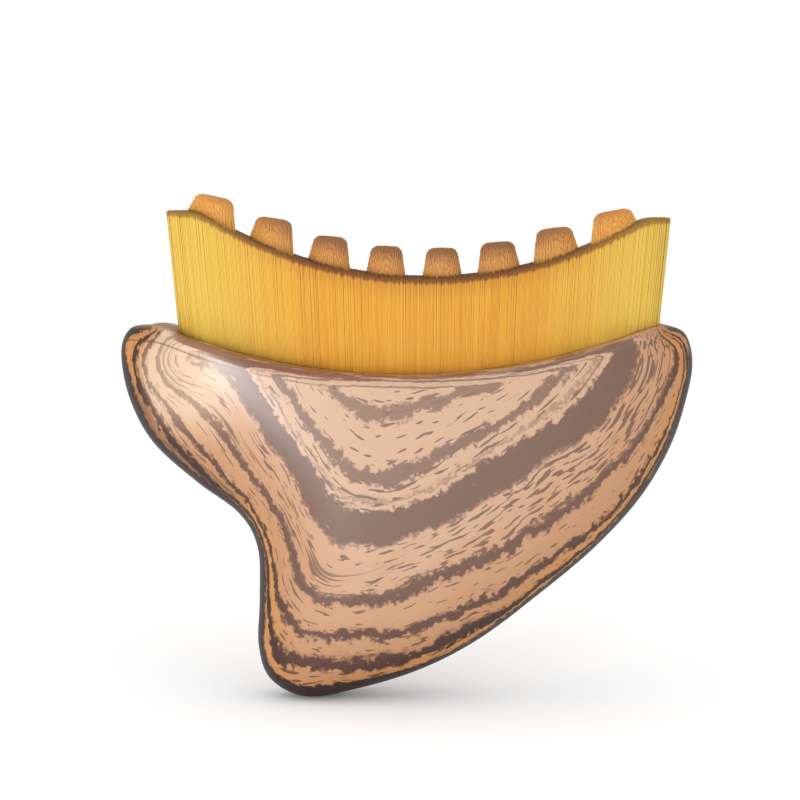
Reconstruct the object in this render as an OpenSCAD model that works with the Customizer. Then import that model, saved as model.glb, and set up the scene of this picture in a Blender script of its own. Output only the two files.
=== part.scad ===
// Contour palm brush: a carved, fin-shaped hardwood handle that holds a dense fan of fibre.
// X runs across the two horns, Y through the thickness and Z up from the tail to the tips.
// The origin is on the middle plane, under the middle of the handle, level with the tail.

/* [Handle] */
// Width across the two horns, which scales the whole carved outline
handle_w = 100; // [96:1:104]
// Greatest thickness, on the two flat palm lands
handle_t = 25; // [23:0.5:28]
// Inset at which the swell of each face becomes its flat palm land
land_inset = 23; // [21:1:27]
// Fullness of the swell: a higher number gives a blunter edge
swell = 2.4; // [2:0.1:3]
// Depth of the eased edge along the rim
ease_d = 2.2; // [1:0.1:3]
// How far the eased edge sets the rim back
ease_y = 1.6; // [0.5:0.1:2]

/* [Slot] */
// Depth of the slot below the rim
slot_d = 10; // [6:0.5:14]
// Thickness of the cured resin on the floor of the slot
resin_t = 1.5; // [1:0.1:3]

/* [Fibre pad] */
// Length of the pad at the rim
pad_l = 83.7; // [80:0.1:84]
// Thickness of the pad
pad_t = 13; // [11:0.5:14]
// Thickness of the crowned middle row of bundles
crown_t = 7; // [7:0.1:8]
// Radius of the pad's four upright corners
corner_r = 4.5; // [2:0.1:5]
// Distance below the rim at which all the fibres would meet
fan_r = 434; // [300:1:900]
// Radius of the hollow trimmed along the top
trim_r = 74; // [70:0.5:90]
// Height of the lowest point of the trim
trim_z = 74.2; // [72:0.1:80]
// Height at which the trim levels off at the notched end
trim_left_z = 85.8; // [84:0.1:88]
// Height at which the trim levels off at the other end
trim_right_z = 84.6; // [83:0.1:88]

/* [Crowns] */
// Number of columns of bundles, each with one raised crown
columns = 8; // [4:1:8]
// Distance between neighbouring crowns, measured at the rim
crown_pitch = 9.73; // [9.6:0.01:10]
// Height of a crown above the trim
crown_h = 5.1; // [3:0.1:6]
// Height of the first and the last crown above the trim
end_crown_h = 4.1; // [3:0.1:6]
// Radius of a crown at its foot
crown_foot_r = 3.45; // [2.8:0.05:3.5]
// Radius of a crown where its top starts to round over
crown_top_r = 2.75; // [2.2:0.05:2.8]
// How much longer along the pad the first and the last crown are than a round one
crown_spread = 0.26; // [0:0.01:0.28]
// Radius of the round over
crown_round = 1.3; // [0.5:0.1:1.8]

/* [Hidden] */

k = handle_w / 100;          // outline scale: the points below are for a 100 mm handle
face_y = handle_t / 2;       // the palm lands lie at this distance from the middle plane

// The rim is a shallow hollow arc that levels off into the two horns.
rim_mid = [-0.35 * k, 57.9 * k];
rim_r = 111.5 * k;
rim_level = 66.1 * k;
rim_end = [-44.5 * k, 44.8 * k];

// The pad is centred a little towards the longer end of the rim.
pad_x = 2.05 * k;
crown_x = pad_x - 0.8;
trim_x = 3.6 * k;
rim_ref = 65.5 * k;          // the height at which pad_l is measured

steps = 5;                   // straight pieces between two outline points
cols = 96;                   // columns of the handle's skin
rings = [0, 0.006, 0.02, 0.045, 0.08, 0.13, 0.2, 0.3, 0.42, 0.56, 0.72, 0.86, 0.93, 0.965, 0.985, 1];
fibre_steps = 6;             // straight pieces along the trim of one bundle
merge = 0.8;                 // how softly two heights run into each other

// The lower of two heights, with a soft corner where they meet.
function soft_min(a, b) = (a + b - sqrt((a - b) * (a - b) + merge * merge)) / 2;

// Height at x of a hollow arc whose lowest point is at [mid_x, mid_z].
function hollow(x, mid_x, mid_z, r) = mid_z + r - sqrt(r * r - (x - mid_x) * (x - mid_x));

function rim_z(x) = soft_min(hollow(x, rim_mid.x, rim_mid.y, rim_r), rim_level);
function trim_height(x) =
    soft_min(hollow(x, trim_x, trim_z, trim_r), x < trim_x ? trim_left_z : trim_right_z);

// Points that the carved outline passes through, from the notched horn round the tail.
outline = [
    [rim_end[0], rim_z(rim_end[0])],
    each k * [
        [-48.4, 65.2], [-50, 61], [-48.6, 53], [-44.5, 45.2], [-37, 38.3], [-29.5, 32.6],
        [-26.3, 26.5], [-26, 17.5], [-26.2, 9], [-24, 3], [-17.5, 0], [-7, 1.8],
        [3.3, 5.2], [13, 10.4], [23, 18], [33, 26.5], [41, 35.4], [46.2, 44.4],
        [49, 53], [50, 59.5], [48.6, 64.4]
    ],
    [rim_end[1], rim_z(rim_end[1])]
];

// A Catmull-Rom curve through a list of points, with each end point repeated once.
function at(p, i) = p[max(0, min(len(p) - 1, i))];
function spline(p, n) = [
    for (i = [0 : len(p) - 2], s = [0 : n - 1])
        let (u = s / n, a = at(p, i - 1), b = p[i], c = p[i + 1], d = at(p, i + 2))
            b + 0.5 * u * ((c - a) + u * ((2 * a - 5 * b + 4 * c - d) + u * (3 * b - a - 3 * c + d))),
    p[len(p) - 1]
];
edge = spline(outline, steps);

// Inset of a point from the edge: a smooth distance, from the inverse cubes of the distances
// to all of the edge. The rim isn't counted, so lines of equal inset run out through the rim.
function pull(p, a, b) =
    let (u = a - p, v = b - p, m = max(norm(u), 0.001), n = max(norm(v), 0.001))
        norm(b - a) * (m + n) / (m * n * max(m * n + u * v, 0.000001));
function pulls(p) = [for (i = [0 : len(edge) - 2]) pull(p, edge[i], edge[i + 1])];
function total(v) = v * [for (x = v) 1];
function inset(p) = sqrt(2 / total(pulls(p)));

// Half of the thickness at a point: a round edge that swells to the flat palm land, less
// the eased edge along the rim.
function swell_at(p) = face_y * sqrt(1 - pow(1 - min(1, inset(p) / land_inset), swell));
function easing(p) =
    let (u = max(0, 1 - (rim_z(p.x) - p.y) / ease_d)) 1 - sqrt(max(0, 1 - u * u));
function half_t(p) =
    let (h = swell_at(p)) h - ease_y * min(1, h / face_y) * easing(p);

// The skin runs from each point of the edge to its partner on the rim.
function edge_at(f) =
    let (s = f * (len(edge) - 1), i = min(len(edge) - 2, floor(s)))
        edge[i] + (s - i) * (edge[i + 1] - edge[i]);
function rim_at(f) =
    let (x = rim_end[0] + f * (rim_end[1] - rim_end[0])) [x, rim_z(x)];
skin = [
    for (i = [1 : cols - 1], j = [1 : len(rings) - 1])
        let (f = i / cols) edge_at(f) + rings[j] * (rim_at(f) - edge_at(f))
];
skin_y = [for (p = skin) half_t(p)];

rows = len(rings) - 1;
first_front = cols + 1;
first_back = first_front + len(skin);

// Number of a skin point: column i, ring j, on the front (side 0) or the back (side 1).
function id(i, j, side) =
    i == 0 ? 0
    : i == cols ? 1
    : j == 0 ? 1 + i
    : (side == 0 ? first_front : first_back) + (i - 1) * rows + j - 1;
function quad(a, b, c, d) = [
    if (a != b && b != c && a != c) [a, b, c],
    if (a != c && c != d && a != d) [a, c, d]
];

module carved_body() {
    points = [
        for (p = [edge[0], edge[len(edge) - 1]]) [p.x, 0, p.y],
        for (i = [1 : cols - 1]) let (p = edge_at(i / cols)) [p.x, 0, p.y],
        for (n = [0 : len(skin) - 1]) [skin[n].x, -skin_y[n], skin[n].y],
        for (n = [0 : len(skin) - 1]) [skin[n].x, skin_y[n], skin[n].y]
    ];
    front = [
        for (i = [0 : cols - 1], j = [0 : rows - 1])
            each quad(id(i, j, 0), id(i, j + 1, 0), id(i + 1, j + 1, 0), id(i + 1, j, 0))
    ];
    back = [
        for (i = [0 : cols - 1], j = [0 : rows - 1])
            each quad(id(i, j, 1), id(i + 1, j, 1), id(i + 1, j + 1, 1), id(i, j + 1, 1))
    ];
    rim = [
        for (i = [0 : cols - 1])
            each quad(id(i, rows, 0), id(i, rows, 1), id(i + 1, rows, 1), id(i + 1, rows, 0))
    ];
    polyhedron(points = points, faces = concat(front, back, rim));
}

// A point on the fibre that crosses the rim level at w, at height z.
function on_fibre(w, z) = [pad_x + (w - pad_x) * (1 + (z - rim_ref) / fan_r), z];
function tip(w) =
    let (x = pad_x + (w - pad_x) * (1 + (trim_height(w) - rim_ref) / fan_r))
        on_fibre(w, trim_height(x));
function floor_at(w, above) = on_fibre(w, rim_z(w) - slot_d + above);

pad_end = [pad_x - pad_l / 2, pad_x + pad_l / 2];
function crown_at(c) = crown_x + (c - (columns + 1) / 2) * crown_pitch;
function crown_length(c) =
    1 + crown_spread * max(0, abs(c - (columns + 1) / 2) - 0.5) / (columns / 2 - 1);
function column_start(c) = c == 1 ? pad_end[0] : (crown_at(c - 1) + crown_at(c)) / 2;
function column_end(c) = c == columns ? pad_end[1] : column_start(c + 1);
function across(a, b, n) = [for (i = [0 : n]) a + (b - a) * i / n];
function reversed(v) = [for (i = [len(v) - 1 : -1 : 0]) v[i]];

// Keeps what lies inside the two rounded upright corners at one end: side -1 or 1.
module rounded_end(side) {
    w = side < 0 ? pad_end[0] : pad_end[1];
    reach = 2 * pad_l;
    flat_y = pad_t / 2 - corner_r;
    translate([w, 0, rim_ref])
        rotate([0, atan((w - pad_x) / fan_r), 0])
            linear_extrude(height = reach, center = true)
                scale([-side, 1]) {
                    translate([corner_r, -pad_t])
                        square([reach, 2 * pad_t]);
                    translate([0, -flat_y])
                        square([reach, 2 * flat_y]);
                    for (y = [-flat_y, flat_y])
                        translate([corner_r, y])
                            circle(r = corner_r, $fn = 48);
                }
}

// A slab of the pad between two curves, from y0 to y1.
module slab(curve_points, y0, y1) {
    translate([0, y1, 0])
        rotate([90, 0, 0])
            linear_extrude(height = y1 - y0)
                polygon(curve_points);
}

module slot() {
    w = across(pad_end[0], pad_end[1], columns * fibre_steps);
    above = 6;
    intersection() {
        slab(
            concat(
                [for (x = w) floor_at(x, 0)],
                [for (x = reversed(w)) on_fibre(x, rim_z(x) + above)]
            ),
            -pad_t / 2, pad_t / 2
        );
        rounded_end(-1);
        rounded_end(1);
    }
}

module handle() {
    color("peru")
        difference() {
            carved_body();
            slot();
        }
}

module resin_bed() {
    w = across(pad_end[0], pad_end[1], columns * fibre_steps);
    color("khaki")
        intersection() {
            slab(
                concat(
                    [for (x = w) floor_at(x, 0)],
                    [for (x = reversed(w)) floor_at(x, resin_t)]
                ),
                -pad_t / 2, pad_t / 2
            );
            rounded_end(-1);
            rounded_end(1);
        }
}

// One bundle of fibre in column c, from y0 to y1, with the pad's corners at the two ends.
module bundle(c, y0, y1) {
    w = across(column_start(c), column_end(c), fibre_steps);
    intersection() {
        slab(
            concat([for (x = w) floor_at(x, resin_t)], [for (x = reversed(w)) tip(x)]),
            y0, y1
        );
        if (c == 1) rounded_end(-1);
        if (c == columns) rounded_end(1);
    }
}

// A crown stands on its own foot and leans a little towards the hollow's centre. The crowns
// in the middle are round, and the others grow longer towards the ends of the pad.
module crown(c) {
    foot = tip(crown_at(c));
    slope = asin((foot.x - trim_x) / trim_r);
    lean = -0.4 * slope;
    h = (c == 1 || c == columns) ? end_crown_h : crown_h;
    root = 2.5;
    translate([foot.x, 0, foot.y])
        rotate([0, lean, 0])
            scale([crown_length(c), 1, 1])
                rotate_extrude($fn = 48)
                    polygon(concat(
                        [[0, -root], [crown_foot_r, -root], [crown_foot_r, 0]],
                        [
                            for (a = [0 : 15 : 90])
                                [crown_top_r - crown_round * (1 - cos(a)),
                                 h - crown_round * (1 - sin(a))]
                        ],
                        [[0, h]]
                    ));
}

module front_bundle(c) {
    color("goldenrod")
        bundle(c, -pad_t / 2, -crown_t / 2);
}

module rear_bundle(c) {
    color("goldenrod")
        bundle(c, crown_t / 2, pad_t / 2);
}

module crown_bundle(c) {
    color("darkgoldenrod")
        union() {
            bundle(c, -crown_t / 2, crown_t / 2);
            crown(c);
        }
}

handle();
resin_bed();
for (c = [1 : columns]) {
    front_bundle(c);
    crown_bundle(c);
    rear_bundle(c);
}
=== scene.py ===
"""A contour palm brush: a carved handle of striped, lacquered wood and a dense fan of amber fibre."""

import math

import bmesh
import bpy
import numpy as np
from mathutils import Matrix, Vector


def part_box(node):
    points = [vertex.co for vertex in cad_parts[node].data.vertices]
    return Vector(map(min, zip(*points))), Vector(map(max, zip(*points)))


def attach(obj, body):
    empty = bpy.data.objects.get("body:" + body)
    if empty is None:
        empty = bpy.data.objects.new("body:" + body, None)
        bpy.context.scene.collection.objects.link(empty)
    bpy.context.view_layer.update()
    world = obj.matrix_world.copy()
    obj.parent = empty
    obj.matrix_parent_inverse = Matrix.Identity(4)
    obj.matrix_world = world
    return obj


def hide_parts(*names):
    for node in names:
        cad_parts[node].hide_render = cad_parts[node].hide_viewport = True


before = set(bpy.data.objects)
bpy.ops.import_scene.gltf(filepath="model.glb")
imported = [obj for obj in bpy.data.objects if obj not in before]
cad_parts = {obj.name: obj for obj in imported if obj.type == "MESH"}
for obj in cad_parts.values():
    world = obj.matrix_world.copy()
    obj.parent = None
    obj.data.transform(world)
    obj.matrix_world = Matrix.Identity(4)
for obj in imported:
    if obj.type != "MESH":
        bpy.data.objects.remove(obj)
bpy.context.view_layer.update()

MM = 0.001
handle_low, handle_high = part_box("handle")
SCALE = (handle_high.x - handle_low.x) / (100 * MM)       # the handle's points are for 100 mm
FACE_Y = (handle_high.y - handle_low.y) / 2 / MM
PAD_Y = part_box("rear_bundle_1")[1].y / MM
CROWN_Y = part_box("rear_bundle_1")[0].y / MM

# ---------------------------------------------------------------- shape of the handle, in mm

RIM_MID, RIM_R, RIM_LEVEL = (-0.35, 57.9), 111.5, 66.1
RIM_ENDS = (-44.5, 44.8)
LAND_INSET, SWELL = 23.0, 2.4
LAYER_INSET = 27.0                                        # the wood's layers run on past the land
EASE_DOWN, EASE_IN = 2.2, 1.6                             # the rounding along the rim
MERGE = 0.8
WAVE_FADE = 3.0                                           # no wave reaches nearer to the edge
WELD_GAP = 2e-6                                           # in metres
SHARP_ANGLE = math.radians(50)
OUTLINE = [
    (-48.4, 65.2), (-50, 61), (-48.6, 53), (-44.5, 45.2), (-37, 38.3), (-29.5, 32.6),
    (-26.3, 26.5), (-26, 17.5), (-26.2, 9), (-24, 3), (-17.5, 0), (-7, 1.8),
    (3.3, 5.2), (13, 10.4), (23, 18), (33, 26.5), (41, 35.4), (46.2, 44.4),
    (49, 53), (50, 59.5), (48.6, 64.4),
]

# Waves in the layers of the wood: centre x and z, radius and height, in mm.
WAVES = [
    (45.5, 67, 14.5, 9), (36, 31, 26.5, 6), (-8, 27, 22, 10.5), (-10, 13, 9, -4),
    (-2, 25, 16, -11), (-40, 61, 6, 6.5), (19, 38, 20.5, -5), (3, 50, 12.5, -3),
    (-17.5, 9.5, 7, -2.5), (21, 16.5, 9.5, 1), (34.5, 50, 10, 1.5),
]
TAIL_EDGE_AND_SHADE = (-16, -1, 8, -2.4)                            # thicker dark edge layer under the tail, partly painted shade

# ---------------------------------------------------------------- shape of the pad, in mm

PAD_X, PAD_L, RIM_REF, FAN_R = 2.05, 83.7, 65.5, 434.0
CORNER_R = 4.5
SLOT_D, RESIN_T = 10.0, 1.5
TRIM_X, TRIM_Z, TRIM_R = 3.6, 74.2, 74.0
TRIM_LEVELS = (85.8, 84.6)
NEAR_TRIM_Z = TRIM_Z + 5                                  # a first guess of the trimmed height
COLUMNS, CROWN_X, CROWN_PITCH = 8, 1.25, 9.73
CROWN_H, END_CROWN_H = 5.1, 4.1
CROWN_FOOT_R, CROWN_TOP_R, CROWN_ROUND, CROWN_LEAN = 3.45, 2.75, 1.3, 0.4
CROWN_SPREAD = 0.26
CUT_REACH, CUT_STEPS = CROWN_H + 1.5, 80                  # heights tried when a crown is cut

STRAND_PITCH, ROW_PITCH, STRAND_R = 0.2, 0.235, 0.13
STRAND_SIDES, TIP_R = 4, 0.55                             # the tip's radius is a share of STRAND_R
PLACE_SWAY, TIP_SWAY, TIP_WEAR = 0.01, 0.02, 0.05         # random, one standard deviation
EDGE_SLACK = 0.02


# ---------------------------------------------------------------- curves

def soft_min(a, b):
    """The lower of two heights, with a soft corner where they meet."""
    return (a + b - np.sqrt((a - b) ** 2 + MERGE ** 2)) / 2


def hollow(x, mid_x, mid_z, r):
    """Height at x of a hollow arc of radius r whose lowest point is (mid_x, mid_z)."""
    return mid_z + r - np.sqrt(np.maximum(r * r - (x - mid_x) ** 2, 0))


def rim_z(x):
    """The rim: a shallow hollow arc that levels off into the horns."""
    return soft_min(hollow(x, *RIM_MID, RIM_R), RIM_LEVEL)


def trim_z(x):
    """The trimmed top of the pad: a deeper hollow arc that levels off at each end."""
    level = np.where(x < TRIM_X, *TRIM_LEVELS)
    return soft_min(hollow(x, TRIM_X, TRIM_Z, TRIM_R), level)


def spline(points, steps):
    """A Catmull-Rom curve through the points, with each end point repeated once."""
    p = np.array(points, float)
    p = np.vstack([p[:1], p, p[-1:]])
    u = (np.arange(steps) / steps)[:, None, None]
    a, b, c, d = p[:-3], p[1:-2], p[2:-1], p[3:]
    q = b + 0.5 * u * ((c - a) + u * ((2 * a - 5 * b + 4 * c - d) + u * (3 * b - a - 3 * c + d)))
    return np.vstack([q.transpose(1, 0, 2).reshape(-1, 2), p[-1:]])


ends = [(x, float(rim_z(x))) for x in RIM_ENDS]
EDGE = spline([ends[0], *OUTLINE, ends[1]], 12)


def inset(x, z):
    """Smooth distance from the edge: the root of two over the sum, along the whole edge but
    the rim, of the inverse cube of the distance. Each straight piece is summed exactly."""
    total = np.zeros_like(x)
    for a, b in zip(EDGE[:-1], EDGE[1:]):
        ux, uz, vx, vz = a[0] - x, a[1] - z, b[0] - x, b[1] - z
        m = np.maximum(np.hypot(ux, uz), 1e-4)
        n = np.maximum(np.hypot(vx, vz), 1e-4)
        facing = np.maximum(m * n + ux * vx + uz * vz, 1e-9)
        total += math.dist(a, b) * (m + n) / (m * n * facing)
    return np.sqrt(2 / total)


def swell_y(depth, land=LAND_INSET):
    """Half thickness at an inset: a round edge that swells to the flat palm land."""
    share = np.minimum(1, depth / land)
    return FACE_Y * np.sqrt(1 - (1 - share) ** SWELL)


def layer_of(y):
    """The layer of wood that is cut at half thickness y: the inverse of the layers' swell."""
    share = np.clip(y / FACE_Y, 0, 1)
    return LAYER_INSET * (1 - (1 - share ** 2) ** (1 / SWELL))


def layer_wave(x, z, depth):
    """How far the wood's layers are bent at a place: a sum of round bell-shaped swells, which
    fades out just before the edge, and one more swell that thickens the dark edge layer under
    the tail, partly painted shade."""
    def swells(waves):
        return sum(h * np.exp(-((x - a) ** 2 + (z - b) ** 2) / r ** 2) for a, b, r, h in waves)

    fade = np.clip(depth / WAVE_FADE, 0, 1)
    return swells(WAVES) * fade ** 2 * (3 - 2 * fade) + swells([TAIL_EDGE_AND_SHADE])


# ---------------------------------------------------------------- meshes

def new_piece(name, points, faces, vectors=None):
    """A mesh object from points in mm and a list of face arrays, with named vector attributes."""
    mesh = bpy.data.meshes.new(name)
    loops = np.concatenate([f.ravel() for f in faces]).astype(np.int32)
    sizes = np.concatenate([np.full(len(f), f.shape[1]) for f in faces])
    starts = np.concatenate([[0], np.cumsum(sizes)[:-1]]).astype(np.int32)
    mesh.vertices.add(len(points))
    mesh.vertices.foreach_set("co", (points * MM).astype(np.float32).ravel())
    mesh.loops.add(len(loops))
    mesh.loops.foreach_set("vertex_index", loops)
    mesh.polygons.add(len(sizes))
    mesh.polygons.foreach_set("loop_start", starts)
    mesh.polygons.foreach_set("use_smooth", np.ones(len(sizes), bool))
    for key, values in (vectors or {}).items():
        layer = mesh.attributes.new(key, "FLOAT_VECTOR", "POINT")
        layer.data.foreach_set("vector", values.astype(np.float32).ravel())
    mesh.update(calc_edges=True)
    piece = bpy.data.objects.new(name, mesh)
    bpy.context.scene.collection.objects.link(piece)
    return piece


def grid_quads(rows, cols, start=0, flip=False):
    """Faces of a grid of points numbered row by row."""
    i = np.arange(rows - 1)[:, None] * cols + np.arange(cols - 1)[None] + start
    quads = np.stack([i, i + 1, i + 1 + cols, i + cols], -1).reshape(-1, 4)
    return quads[:, ::-1] if flip else quads


def weld(piece, gap):
    """Joins points closer than gap, which closes seams and poles and removes empty faces."""
    mesh = bmesh.new()
    mesh.from_mesh(piece.data)
    bmesh.ops.remove_doubles(mesh, verts=mesh.verts, dist=gap)
    bmesh.ops.dissolve_degenerate(mesh, edges=mesh.edges, dist=gap / 10)
    bmesh.ops.recalc_face_normals(mesh, faces=mesh.faces)
    mesh.to_mesh(piece.data)
    mesh.free()


def slot_half(x):
    """Half width in Y of the slot at x on the rim: round corners, nothing past the ends."""
    left, right = PAD_X - PAD_L / 2, PAD_X + PAD_L / 2
    near = np.minimum(x - left, right - x)
    u = np.clip(1 - near / CORNER_R, 0, 1)
    return np.where(near > 0, PAD_Y - CORNER_R + CORNER_R * np.sqrt(1 - u ** 2), 0)


def carved_handle():
    """The skin runs in straight steps from each point of the edge to its partner on the rim,
    at the swell's half thickness less the rounding of the rim, once for each side. The rim's
    flat top, the slot's walls and its floor close it. Attribute grain holds the place along a
    layer and the layer's number in mm, and cover the depth from the edge and below the rim."""
    cols, rows, flat_rows = 400, 84, 5
    f = np.linspace(0, 1, cols + 1)
    travel = np.linspace(0, 1, len(EDGE))
    edge = np.stack([np.interp(f, travel, EDGE[:, i]) for i in (0, 1)], -1)
    rim_x = RIM_ENDS[0] + f * (RIM_ENDS[1] - RIM_ENDS[0])
    rim = np.stack([rim_x, rim_z(rim_x)], -1)
    s = 0.5 - 0.5 * np.cos(np.pi * np.linspace(0, 1, rows + 1))
    skin = edge[:, None] + s[None, :, None] * (rim - edge)[:, None]
    x, z = skin[..., 0], skin[..., 1]
    depth = inset(x, z)
    depth[:, 0] = depth[0] = depth[-1] = 0
    below = rim_z(x) - z
    u = np.clip(1 - below / EASE_DOWN, 0, 1)
    ease = EASE_IN * (1 - np.sqrt(1 - u ** 2))
    full, level = swell_y(depth), swell_y(depth, LAYER_INSET)
    y = full - ease * np.minimum(1, full / FACE_Y)
    level = level - ease * np.minimum(1, level / FACE_Y)
    past_land = np.maximum(depth - LAYER_INSET, 0)
    steps = np.hypot(*np.moveaxis(np.diff(skin, axis=0), -1, 0))
    along = np.vstack([np.zeros((1, rows + 1)), np.cumsum(steps, axis=0)])
    along -= along[cols // 2]

    half = np.minimum(slot_half(rim_x), y[:, -1])
    inside = np.flatnonzero(half > 0)
    v = np.linspace(0, 1, flat_rows + 1)[1:]
    flat_y = y[:, -1:] + v * (half - y[:, -1])[:, None]
    flat_x = np.repeat(rim_x[:, None], flat_rows, 1)
    flat_z = np.repeat(rim[:, 1:], flat_rows, 1)

    run = slice(inside[0] - 1, inside[-1] + 2)
    drop = np.array([0, 0.35, 1.0])                       # shares of the slot's depth
    wall_x = np.repeat(rim_x[run, None], 3, 1)
    wall_z = rim[run, 1:] - drop * SLOT_D
    wall_y = np.repeat(half[run, None], 3, 1)
    floor_x, floor_z = wall_x[:, 1:], np.repeat(wall_z[:, -1:], 2, 1)
    floor_y = np.stack([half[run], 0 * half[run]], -1)

    lip_level = (level[:, -1] / np.maximum(y[:, -1], 1e-6))[:, None]

    def past(n, part=slice(None)):
        return np.repeat(past_land[part, -1:], n, 1), np.repeat(along[part, -1:], n, 1)

    top_past, top_along = past(flat_rows)
    grids = [
        (np.hstack([x, flat_x]), np.hstack([y, flat_y]), np.hstack([z, flat_z]),
         np.hstack([level, flat_y * lip_level]), np.hstack([past_land, top_past]),
         np.hstack([along, top_along])),
        (wall_x, wall_y, wall_z, wall_y * lip_level[run], *past(3, run)),
        (floor_x, floor_y, floor_z, floor_y * lip_level[run], *past(2, run)),
    ]
    points, faces, grain, cover = [], [], [], []
    count = 0
    for side in (-1, 1):
        for gx, gy, gz, cut, extra, walk in grids:
            points.append(np.stack([gx * SCALE, side * gy, gz * SCALE], -1).reshape(-1, 3))
            deep = layer_of(cut) + extra
            layer = -side * deep + layer_wave(gx, gz, deep)
            down = np.maximum(rim_z(gx) - gz, 0)
            grain.append(np.stack([walk, layer, 0 * gx], -1).reshape(-1, 3))
            cover.append(np.stack([deep, down, 0 * gx], -1).reshape(-1, 3))
            faces.append(grid_quads(*gx.shape, start=count, flip=side > 0))
            count += gx.size
    marks = {"grain": np.vstack(grain), "cover": np.vstack(cover)}
    piece = new_piece("carved_handle", np.vstack(points), faces, marks)
    weld(piece, WELD_GAP)
    piece.data.set_sharp_from_angle(angle=SHARP_ANGLE)
    return piece


# ---------------------------------------------------------------- fibre

def crown_at(c):
    """x of the middle of crown c, at the rim."""
    return CROWN_X + (c - (COLUMNS + 1) / 2) * CROWN_PITCH


def crown_length(c):
    """How much longer than round a crown is along the pad: the most at both ends."""
    off_middle = max(0, abs(c - (COLUMNS + 1) / 2) - 0.5)
    return 1 + CROWN_SPREAD * off_middle / (COLUMNS / 2 - 1)


def on_fibre(w, z):
    """x at height z of the fibre that crosses the rim level at w: all fibres meet far below."""
    return PAD_X + (w - PAD_X) * (1 + (z - RIM_REF) / FAN_R)


def crown_radius(v, h):
    """Radius of a crown at height v above its foot: a tapering side and a rounded top."""
    shoulder = h - CROWN_ROUND
    side = CROWN_FOOT_R + (CROWN_TOP_R - CROWN_FOOT_R) * np.clip(v, 0, shoulder) / shoulder
    u = np.clip((v - shoulder) / CROWN_ROUND, 0, 1)
    return np.where(v > h, -1, side - CROWN_ROUND * (1 - np.sqrt(1 - u ** 2)))


def tip_heights(w, y):
    """Where each fibre was cut: the trim, or the highest point at which it is in a crown. Also
    how far that is above the trim. A crown's own axes lean by a share of the trim's slope."""
    base = trim_z(on_fibre(w, trim_z(on_fibre(w, NEAR_TRIM_Z))))
    tips = base.copy()
    rise = np.linspace(0, CUT_REACH, CUT_STEPS)
    for c in range(1, COLUMNS + 1):
        h = END_CROWN_H if c in (1, COLUMNS) else CROWN_H
        foot_z = trim_z(on_fibre(crown_at(c), NEAR_TRIM_Z))
        foot_x = on_fibre(crown_at(c), foot_z)
        lean = -CROWN_LEAN * math.asin((foot_x - TRIM_X) / TRIM_R)
        z = base[:, None] + rise
        dx, dz = on_fibre(w[:, None], z) - foot_x, z - foot_z
        across = dx * math.cos(lean) - dz * math.sin(lean)
        up = dx * math.sin(lean) + dz * math.cos(lean)
        held = np.hypot(across / crown_length(c), y[:, None]) < crown_radius(up, h)
        tips = np.maximum(tips, np.where(held, z, 0).max(1))
    return tips, tips - base


def strand_grid():
    """Places of the fibres over the slot: a close-packed grid, kept inside the round corners."""
    ys = np.arange(-PAD_Y + STRAND_R, PAD_Y - STRAND_R + 1e-6, ROW_PITCH)
    ys *= (PAD_Y - STRAND_R) / abs(ys).max()
    ws = np.arange(PAD_X - PAD_L / 2 + STRAND_R, PAD_X + PAD_L / 2 - STRAND_R, STRAND_PITCH)
    w, y = np.meshgrid(ws, ys)
    w = w + (np.arange(len(ys)) % 2)[:, None] * STRAND_PITCH / 2
    keep = np.abs(y) + STRAND_R <= slot_half(w) + EDGE_SLACK
    return w[keep], y[keep]


def fibre_mesh(name, w, y, low, high, crown, tone, rng):
    """Four-sided strands, each a ring of points carried up its fibre line, with a small random
    bend that grows with the square of the height, and a narrowed, closed tip. Attribute strand
    holds each point's fibre, its distance from the tip and the fibre's rise above the trim."""
    sides = STRAND_SIDES
    climb = np.array([0, 0.5, 0.85, 0.985, 1.0])
    width = np.array([1, 1, 1, 1, TIP_R])
    n, rings = len(w), len(climb)
    z = low[:, None] + (high - low)[:, None] * climb
    bend = rng.normal(0, TIP_SWAY, (n, 2))[:, None] * (climb ** 2)[None, :, None]
    x = on_fibre(w[:, None], z) + bend[..., 0]
    room = PAD_Y - STRAND_R
    yy = np.clip(y[:, None] + bend[..., 1], -room, room)
    turn = rng.uniform(0, math.pi / 2, n)[:, None] + np.arange(sides) * 2 * math.pi / sides
    r = STRAND_R * width[None, :, None]
    px = x[..., None] + r * np.cos(turn)[:, None]
    py = yy[..., None] + r * np.sin(turn)[:, None]
    pz = np.repeat(z[..., None], sides, 2)
    points = np.stack([px * SCALE, py, pz * SCALE], -1).reshape(-1, 3)
    first = (np.arange(n) * rings * sides)[:, None, None]
    ring = (np.arange(rings - 1) * sides)[None, :, None]
    k = np.arange(sides)[None, None]
    nxt = (k + 1) % sides
    a, b = first + ring + k, first + ring + nxt
    walls = np.stack([a, b, b + sides, a + sides], -1).reshape(-1, 4)
    base = first[:, 0] + k[0]
    caps = np.vstack([base[:, ::-1], base + (rings - 1) * sides])
    from_tip = (high - low)[:, None] * (1 - climb)

    def per_point(*values):
        spread = [np.broadcast_to(v, px.shape) for v in values]
        return np.stack(spread, -1).reshape(-1, 3)

    strand = per_point(w[:, None, None], from_tip[..., None], crown[:, None, None])
    dye = per_point(*[tone[:, None, None]] * 3)
    return new_piece(name, points, [walls, caps], {"strand": strand, "dye": dye})


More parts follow.
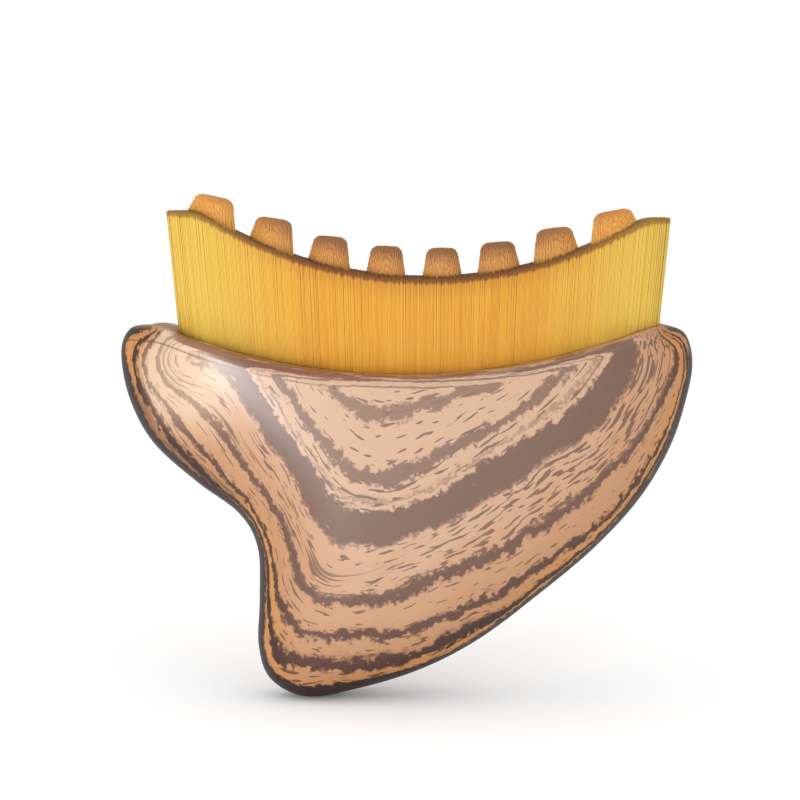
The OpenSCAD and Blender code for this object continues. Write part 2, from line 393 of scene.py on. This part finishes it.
def fibre_bundles():
    """All the strands, shared out to the bundles that they belong to."""
    rng = np.random.default_rng(7)
    w, y = strand_grid()
    w = w + rng.normal(0, PLACE_SWAY, len(w))
    tips, crown = tip_heights(w, y)
    tips = tips - np.abs(rng.normal(0, TIP_WEAR, len(w)))
    low = rim_z(w) - SLOT_D + RESIN_T
    tone = rng.uniform(0, 1, len(w))
    splits = [(crown_at(c) + crown_at(c + 1)) / 2 for c in range(1, COLUMNS)]
    column = np.searchsorted(splits, w) + 1
    rows = {"front": y < -CROWN_Y, "crown": np.abs(y) <= CROWN_Y, "rear": y > CROWN_Y}
    made = {}
    for row, in_row in rows.items():
        for c in range(1, COLUMNS + 1):
            m = in_row & (column == c)
            made[f"{row}_bundle_{c}"] = fibre_mesh(
                f"{row}_fibres_{c}", w[m], y[m], low[m], tips[m], crown[m], tone[m], rng)
    return made


# ---------------------------------------------------------------- materials

class Wire:
    """One output in a node tree. Arithmetic on it adds Math nodes."""

    def __init__(self, paint, socket):
        self.paint, self.socket = paint, socket

    def math(self, operation, *others):
        values = dict(enumerate([self, *others]))
        return self.paint.node("ShaderNodeMath", {"operation": operation}, values).out()

    def __add__(self, other):
        return self.math("ADD", other)

    def __sub__(self, other):
        return self.math("SUBTRACT", other)

    def __rsub__(self, other):
        return (self * -1).math("ADD", other)

    def __mul__(self, other):
        return self.math("MULTIPLY", other)

    def __truediv__(self, other):
        return self.math("DIVIDE", other)

    __radd__, __rmul__ = __add__, __mul__

    def ramp(self, low, high, to_low=0.0, to_high=1.0):
        """Runs smoothly from to_low to to_high as this value goes from low to high."""
        node = self.paint.node(
            "ShaderNodeMapRange", {"interpolation_type": "SMOOTHSTEP"},
            {"Value": self, "From Min": low, "From Max": high, "To Min": to_low, "To Max": to_high})
        return node.out("Result")


class Node:
    """A node that was added to a material, for its outputs."""

    def __init__(self, paint, node):
        self.paint, self.node = paint, node

    def out(self, name=0):
        return Wire(self.paint, self.node.outputs[name])


class Paint:
    """A new material. node() adds any node: settings first, then values or wires."""

    def __init__(self, name):
        self.material = bpy.data.materials.new(name)
        self.material.use_nodes = True
        self.tree = self.material.node_tree
        self.tree.nodes.clear()

    def node(self, kind, settings=None, sockets=None, stops=None):
        node = self.tree.nodes.new(kind)
        for key, value in (settings or {}).items():
            setattr(node, key, value)
        if stops:
            elements = node.color_ramp.elements
            while len(elements) < len(stops):
                elements.new(1.0)
            for element, (place, colour) in zip(elements, stops):
                element.position = place
                element.color = colour
        for key, value in (sockets or {}).items():
            if isinstance(value, Wire):
                self.tree.links.new(value.socket, node.inputs[key])
            else:
                node.inputs[key].default_value = value
        return Node(self, node)

    def attribute(self, name):
        return self.node("ShaderNodeAttribute", {"attribute_name": name}).out("Vector")

    def split(self, vector):
        node = self.node("ShaderNodeSeparateXYZ", None, {"Vector": vector})
        return [node.out(i) for i in range(3)]

    def join(self, x, y, z=0.0):
        return self.node("ShaderNodeCombineXYZ", None, {"X": x, "Y": y, "Z": z}).out()

    def noise(self, vector, scale=1.0, detail=2.0, roughness=0.5):
        """Noise from 0 to 1, with most of its values near 0.5."""
        sockets = {"Vector": vector, "Scale": scale, "Detail": detail, "Roughness": roughness}
        return self.node("ShaderNodeTexNoise", None, sockets).out("Fac")

    def mix(self, share, first, second):
        """From the first colour to the second as share goes from 0 to 1."""
        sockets = {"Factor": share, 6: first, 7: second}
        return self.node("ShaderNodeMix", {"data_type": "RGBA"}, sockets).out(2)

    def bump(self, height, distance, strength=1.0):
        sockets = {"Height": height, "Distance": distance, "Strength": strength}
        return self.node("ShaderNodeBump", None, sockets).out("Normal")

    def surface(self, **sockets):
        named = {key.replace("_", " "): value for key, value in sockets.items()}
        shader = self.node("ShaderNodeBsdfPrincipled", None, named).out()
        self.node("ShaderNodeOutputMaterial", None, {"Surface": shader})
        return self.material


def srgb(r, g, b):
    """A colour given as eye values from 0 to 255, as the light values that shaders use."""
    def light(v):
        v /= 255
        return v / 12.92 if v <= 0.04045 else ((v + 0.055) / 1.055) ** 2.4
    return (light(r), light(g), light(b), 1.0)


# The pale wood is partly painted sheen of the lacquer; the horn's colour is painted sheen.
PALE_WOOD_AND_SHEEN, TAN_WOOD, HORN_SHEEN_WOOD = srgb(178, 143, 115), srgb(171, 125, 88), srgb(196, 166, 138)
# The second dark is for the very edge: partly painted shade of the rounded edge.
DARK_WOOD, EDGE_WOOD_AND_SHADE = srgb(72, 41, 32), srgb(44, 27, 20)
# The brown is for the notched side just inside the edge: partly painted shade.
GOLD_RIND, BROWN_RIND_AND_SHADE = srgb(186, 126, 66), srgb(118, 76, 44)
# Painted shade along the rim: the broken band where it rounds over, and the fine crease line.
LIP_SHADE, CREASE_SHADE = srgb(112, 60, 30), srgb(96, 62, 44)

# The pad's end colours are painted light: lighter and yellower than the middle.
AMBER_DEEP, AMBER_LIGHT, AMBER_LIT_ENDS = srgb(203, 143, 49), srgb(211, 156, 54), srgb(208, 178, 78)
NEAR_TIP, DARK_CUT_TIP = srgb(158, 98, 44), srgb(122, 74, 39)
# The crowns' end colours are painted light too.
CROWN_SIDE, CROWN_SIDE_LIT_ENDS = srgb(206, 148, 82), srgb(228, 168, 84)
CROWN_TOP, CROWN_TOP_LIT_ENDS = srgb(156, 107, 68), srgb(218, 154, 80)

RESIN_PALE, RESIN_BROWN = srgb(196, 168, 104), srgb(168, 132, 70)

# Dark layers of the wood: from and to, in mm of depth, and how dark each is.
FRONT_LAYERS = [
    (-4.0, 1.3, 1.0), (3.3, 4.9, 0.98), (6.4, 7.6, 0.93), (10.6, 12.0, 0.88), (17.2, 21.0, 0.84),
    (21.7, 22.1, 0.5), (23.4, 24.9, 0.72), (28.3, 29.8, 0.66), (32.8, 34.0, 0.62),
]
BACK_LAYERS = [
    (-36, -33.5, 0.55), (-30.5, -29.8, 0.55), (-27.5, -23.6, 0.64), (-21.2, -20.4, 0.64),
    (-17.6, -15.2, 0.72), (-12.4, -11.6, 0.82), (-8.9, -7.6, 0.92), (-5.6, -4.9, 0.97),
]
LAYER_SPAN = 45.0


def layers(paint, depth, bands, soft=0.06):
    """How dark the wood is at a depth: a ramp with a soft-edged step for each dark layer. A
    ramp holds few stops, so a long list of layers takes more than one."""
    stops = []
    for low, high, dark in bands:
        stops += [(low - soft, 0), (low + soft, dark), (high - soft, dark), (high + soft, 0)]
    place = [(0.5 + at / (2 * LAYER_SPAN), (v, v, v, 1)) for at, v in stops]
    share = depth * (0.5 / LAYER_SPAN) + 0.5
    return paint.node("ShaderNodeValToRGB", None, {"Fac": share}, place).out("Color")


def dark_layers(p, along, layer, smooth, torn):
    """The dark layers, with edges that are torn along the grain and at every small place."""
    ragged = p.noise(p.join(along * 0.35, layer * 0.5), 1.0, 1.0) - 0.5
    depth = smooth + ragged * 1.6 + torn * 2.0
    outer = layers(p, depth, FRONT_LAYERS[:5])
    inner = layers(p, depth, FRONT_LAYERS[5:])
    return outer + inner + layers(p, depth, BACK_LAYERS)


def dark_dashes(p, along, smooth, torn, x):
    """Short dashes along the grain, crowded between two of the layers on the plain side."""
    dash = p.noise(p.join(along * 0.3, smooth * 2.5, 3.0), 1.0, 1.0, 0.4) + torn * 0.06
    crowd = p.noise(p.join(along * 0.035, smooth * 0.16, 11.0), 1.0, 1.0) * 0.25
    between = (smooth - 14.6).math("ABSOLUTE").ramp(3.2, 2.0, 0.0, 0.08)
    return (dash + (crowd + between * x.ramp(-14.0, 8.0))).ramp(0.755, 0.775) * 0.76


def dark_lines(p, along, smooth, x):
    """Long fine lines beside a layer, on the notched side."""
    fine = p.noise(p.join(along * 0.1, smooth * 2.6, 8.0), 1.0, 1.0, 0.4)
    near = (smooth - 13.2).math("ABSOLUTE").ramp(2.2, 1.0) * x.ramp(0.0, -14.0)
    return fine.ramp(0.57, 0.61) * near * 0.7


def edge_layer_and_shade(deep, torn, x, z):
    """The dark outer layer all round, partly painted shade of the rounded edge: thicker under
    the tail and the notched horn, which turn from the light, and none on the horns' tops."""
    thick = z.ramp(9.0, 1.0) * 1.6 + x.ramp(-26.0, -33.0) * z.ramp(62.0, 54.0) * 0.5
    return (deep - thick + torn * 1.4).ramp(1.6, 1.1) * z.ramp(63.5, 60.0)


def light_wood(p, along, layer, deep, horn, x, z):
    """The light layers: tan outside and pale in the middle, which is partly painted sheen of the
    lacquer; palest on the notched horn, which is painted sheen; and gold just inside the dark
    edge layer, brown there on the notched side, which is partly painted shade."""
    tint = p.noise(p.join(along * 0.1, layer * 0.35, 2.0), 1.0, 3.0, 0.6) - 0.5
    # Pale towards the middle: partly painted sheen of the lacquer.
    wood = p.mix((deep + tint * 14).ramp(5.0, 22.0), TAN_WOOD, PALE_WOOD_AND_SHEEN)
    # Palest on the notched horn: painted sheen.
    wood = p.mix(horn * deep.ramp(1.5, 5.0), wood, HORN_SHEEN_WOOD)
    # Brown instead of gold on the notched side: partly painted shade of that side's edge.
    brown = x.ramp(-24.0, -34.0) * z.ramp(62.0, 50.0)
    rind = (deep + tint * 3).ramp(5.0, 1.8)
    return p.mix(rind * 0.85, wood, p.mix(brown, GOLD_RIND, BROWN_RIND_AND_SHADE))


def rim_painted_shade(p, colour, along, layer, below_rim, torn, x):
    """Painted shade along the rim: a broken brown band where the rim rounds over, thinner on
    the plain side, and a fine dark line below it on the notched side, along the crease where the
    face meets that rounding."""
    patches = p.noise(p.join(along * 0.16, layer * 0.35, 9.0), 1.0, 2.0)
    thin = x.ramp(-14.0, 0.0) * 0.6
    # A broken brown band of painted shade just below the rim.
    lip_shade = (below_rim + thin + torn * 0.5).ramp(1.3, 1.05) * (patches + x * -0.003).ramp(0.43, 0.47)
    colour = p.mix(lip_shade * x.ramp(-41.5, -39.0) * 0.85, colour, LIP_SHADE)
    # A fine dark line of painted shade along the crease below the rim.
    crease_shade = (below_rim - 2.45).math("ABSOLUTE").ramp(0.24, 0.08) * x.ramp(-9.0, -18.0)
    return p.mix(crease_shade * 0.6, colour, CREASE_SHADE)


def striped_wood():
    """Light and dark layers cut by the swell of the face, under a clear lacquer."""
    p = Paint("striped_wood")
    along, layer, _ = p.split(p.attribute("grain"))
    deep, below_rim, _ = p.split(p.attribute("cover"))
    place = p.node("ShaderNodeTexCoord").out("Object")
    x, _, z = [part / MM for part in p.split(place)]
    smooth = layer + (p.noise(place, 110.0, 1.0) - 0.5) * 1.5
    torn = p.noise(place, 950.0, 2.0, 0.6) - 0.5
    # The notched horn, which gets a painted sheen.
    horn = x.ramp(-26.0, -36.0) * z.ramp(44.0, 54.0)

    dark = dark_layers(p, along, layer, smooth, torn)
    dark = dark.math("MAXIMUM", dark_dashes(p, along, smooth, torn, x))
    dark = dark.math("MAXIMUM", dark_lines(p, along, smooth, x))
    flecks = p.noise(p.join(along * 0.4, smooth * 1.3, 5.0), 1.0, 1.0).ramp(0.27, 0.24)
    # On the notched horn the dark layers are lightened: painted sheen.
    dark = dark * (1 - flecks * 0.5) * (1 - horn * deep.ramp(2.5, 5.0) * 0.4)
    # The dark edge layer, partly painted shade of the rounded edge, goes over the rest.
    dark = dark.math("MAXIMUM", edge_layer_and_shade(deep, torn, x, z)) * below_rim.ramp(0.0, 0.8, 0.4, 1.0)

    # Near the edge the dark layers take a darker colour still: partly painted shade.
    colour = p.mix(
        dark, light_wood(p, along, layer, deep, horn, x, z),
        p.mix(deep.ramp(1.5, 6.0), EDGE_WOOD_AND_SHADE, DARK_WOOD))
    # Painted shade along the rim and its crease.
    colour = rim_painted_shade(p, colour, along, layer, below_rim, torn, x)
    pores = p.noise(p.join(along * 1.1, layer * 5.0, 4.0), 1.0, 3.0, 0.6)
    return p.surface(
        Base_Color=colour, Roughness=0.5 + pores * 0.12, Normal=p.bump(pores, 0.00003),
        Specular_IOR_Level=0.2, Coat_Weight=deep.ramp(1.0, 9.0, 0.12, 1.0), Coat_Roughness=0.24)


def amber_fibre():
    """Amber strands: soft streaks across the pad, lighter and yellower at both ends by painted
    light, brown cut tips, and crowns of a deeper brown."""
    p = Paint("amber_fibre")
    across, from_tip, crown = p.split(p.attribute("strand"))
    tone = p.split(p.attribute("dye"))[0] - 0.5
    streak = p.noise(p.join(across * 0.7, from_tip * 0.025), 1.0, 3.0, 0.6)
    # The share of painted light at both ends of the pad; it also thins the tip colours there.
    ends = ((across - PAD_X).math("ABSOLUTE") / (PAD_L / 2)).ramp(0.35, 0.95)
    body = p.mix((streak + tone * 0.08).ramp(0.3, 0.7), AMBER_DEEP, AMBER_LIGHT)
    body = p.mix(ends * 0.85, body, AMBER_LIT_ENDS)
    body = p.mix(from_tip.ramp(4.5, 0.5) * (1 - ends) * 0.3, body, NEAR_TIP)
    # Darker towards the cut tips, with a ragged border.
    tip_ragged = p.noise(p.join(across * 1.6, 3.0), 1.0, 2.0) - 0.5
    dark_tips = (from_tip + tone * 0.25 + tip_ragged * 1.2).ramp(1.15, 0.5)
    body = p.mix(dark_tips * (0.95 - ends * 0.3), body, DARK_CUT_TIP)

    up = crown - from_tip
    sides = p.mix(ends, CROWN_SIDE, CROWN_SIDE_LIT_ENDS)
    tops = p.mix(ends, CROWN_TOP, CROWN_TOP_LIT_ENDS)
    raised = up.ramp(0.0, 0.7) * crown.ramp(0.3, 0.8)
    colour = p.mix(raised, body, p.mix((up + tone * 0.8).ramp(1.5, 4.6), sides, tops))
    return p.surface(Base_Color=colour, Roughness=0.5, Specular_IOR_Level=0.25)


def root_resin():
    """Cured resin, clear and a little cloudy."""
    p = Paint("root_resin")
    place = p.node("ShaderNodeTexCoord").out("Object")
    cloud = p.noise(place, 400.0, 3.0)
    colour = p.mix(cloud, RESIN_PALE, RESIN_BROWN)
    return p.surface(Base_Color=colour, Roughness=0.2 + cloud * 0.2)


def dress(piece, material, body="root"):
    """Gives a piece its material and the body that it rides on."""
    piece.data.materials.clear()
    piece.data.materials.append(material)
    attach(piece, body)


# ---------------------------------------------------------------- studio

def floor():
    """A plain white floor, much wider than the view."""
    mesh = bpy.data.meshes.new("floor")
    r = 6.0
    mesh.from_pydata([(-r, -r, 0), (r, -r, 0), (r, r, 0), (-r, r, 0)], [], [(0, 1, 2, 3)])
    plane = bpy.data.objects.new("floor", mesh)
    bpy.context.scene.collection.objects.link(plane)
    p = Paint("floor_white")
    white = p.surface(Base_Color=(0.96, 0.96, 0.96, 1), Roughness=0.9, Specular_IOR_Level=0.0)
    mesh.materials.append(white)


def soft_box(name, place, aim, width, height, power):
    """A rectangular soft light that the camera doesn't see."""
    light = bpy.data.lights.new(name, "AREA")
    light.shape, light.size, light.size_y, light.energy = "RECTANGLE", width, height, power
    lamp = bpy.data.objects.new(name, light)
    lamp.location = place
    lamp.rotation_euler = (Vector(aim) - Vector(place)).to_track_quat("-Z", "Y").to_euler()
    lamp.visible_camera = False
    bpy.context.scene.collection.objects.link(lamp)


def studio():
    """White surroundings, a large soft key from the upper right and a low panel whose soft
    reflection lies on the lacquer of the notched end."""
    world = bpy.data.worlds.new("studio")
    world.use_nodes = True
    shade = world.node_tree.nodes["Background"]
    shade.inputs["Color"].default_value = (1, 1, 1, 1)
    shade.inputs["Strength"].default_value = 1.05
    bpy.context.scene.world = world
    soft_box("key", (0.45, -0.7, 0.5), (0, 0, 0.05), 0.8, 0.8, 1.0)
    soft_box("low_panel", (-0.088, -0.24, 0.045), (-0.03, 0, 0.055), 0.08, 0.08, 0.3)
    bpy.context.scene.view_settings.view_transform = "Standard"


def camera():
    """A long lens from a little above the middle of the brush."""
    aim = Vector((-0.0012, 0, 0.0526))
    distance, elevation, across = 0.48, math.radians(5.7), 0.14035
    data = bpy.data.cameras.new("camera")
    data.sensor_width = 36.0
    data.lens = data.sensor_width * distance / across
    cam = bpy.data.objects.new("camera", data)
    back = Vector((0, -math.cos(elevation), math.sin(elevation)))
    cam.location = aim + back * distance
    cam.rotation_euler = (-back).to_track_quat("-Z", "Y").to_euler()
    bpy.context.scene.collection.objects.link(cam)
    bpy.context.scene.camera = cam


camera()
studio()
floor()

handle = carved_handle()
dress(handle, striped_wood())
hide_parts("handle")

fibre = amber_fibre()
for node, piece in fibre_bundles().items():
    dress(piece, fibre)
    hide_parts(node)

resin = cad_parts["resin_bed"]
resin.data.materials.clear()
resin.data.materials.append(root_resin())
